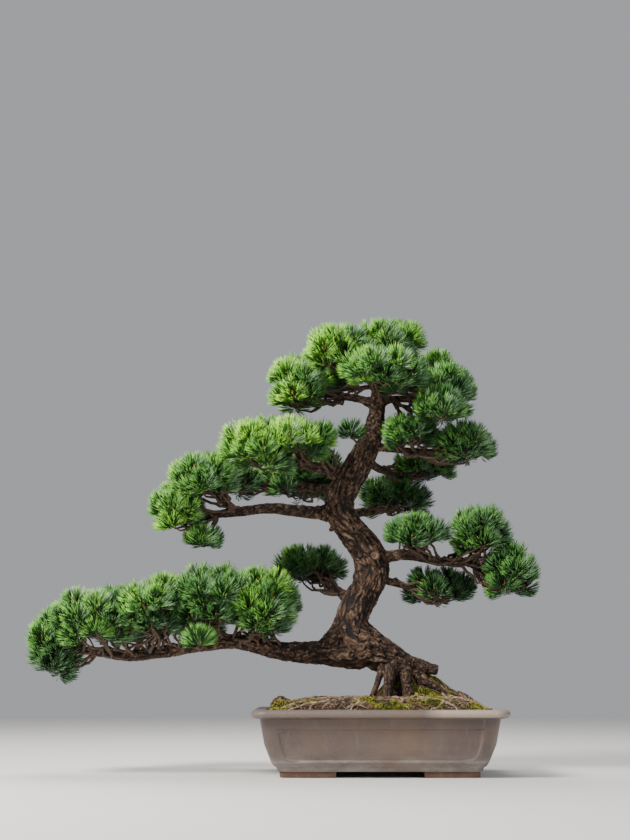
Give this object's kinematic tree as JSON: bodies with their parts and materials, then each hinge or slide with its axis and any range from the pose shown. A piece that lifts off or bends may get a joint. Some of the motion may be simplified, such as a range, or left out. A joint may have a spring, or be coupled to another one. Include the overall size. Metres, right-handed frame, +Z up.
{
  "type": "japanese white pine bonsai",
  "caption": "Leaning japanese white pine bonsai with a winding trunk, a long low bough and layered pads of needles, in a shallow rectangular glazed pot.",
  "frame": {"origin": "middle of the footprint of the whole tree, on the surface that the pot stands on", "axes": "+X to the right of the front view, along the tree's width; +Y away from the viewer; +Z up"},
  "size_m": [1.0764, 0.438, 0.9685],
  "materials": {
    "glaze": "satin taupe glaze over brown clay",
    "earth": "damp fired-clay grains",
    "moss": "short cushion moss",
    "bark": "rough flaky bark",
    "needles": "two-toned needles, green outside and silvery inside"
  },
  "bodies": {
    "root": {"pot": "glaze", "soil": "earth", "moss_left": "moss", "moss_middle": "moss", "moss_right": "moss", "trunk": "bark", "bough_low_left": "bark", "bough_low_back": "bark", "bough_middle_lower": "bark", "bough_middle_fork": "bark", "bough_middle_upper": "bark", "bough_middle_back": "bark", "bough_right": "bark", "bough_right_low": "bark", "bough_right_upper": "bark", "bough_right_upper_back": "bark", "bough_low_behind": "bark", "bough_middle_behind": "bark", "bough_crown_left": "bark", "bough_crown_right": "bark", "bough_crown_front": "bark", "bough_crown_back": "bark", "bough_crown_back_left": "bark", "bough_crown_back_right": "bark", "needles_low_left_tip": "needles", "needles_low_left_outer": "needles", "needles_low_left_middle": "needles", "needles_low_left_inner": "needles", "needles_low_left_heel": "needles", "needles_low_left_front": "needles", "needles_low_left_back_outer": "needles", "needles_low_left_back_middle": "needles", "needles_low_left_back_heel": "needles", "needles_middle_left_tip": "needles", "needles_middle_left_shoulder": "needles", "needles_middle_left_crest": "needles", "needles_middle_left_heel": "needles", "needles_middle_left_hanging": "needles", "needles_middle_left_back_tip": "needles", "needles_middle_left_back_heel": "needles", "needles_crown_left": "needles", "needles_crown_top_left": "needles", "needles_crown_top": "needles", "needles_crown_front": "needles", "needles_crown_right": "needles", "needles_crown_right_front": "needles", "needles_crown_back_left": "needles", "needles_crown_back": "needles", "needles_crown_back_right": "needles", "needles_right_upper_inner": "needles", "needles_right_upper_tip": "needles", "needles_right_upper_behind": "needles", "needles_right_inner": "needles", "needles_right_crest": "needles", "needles_right_tip": "needles", "needles_right_hanging": "needles", "needles_low_behind": "needles", "needles_middle_behind": "needles", "needles_little_by_trunk": "needles"}
  },
  "joints": []
}
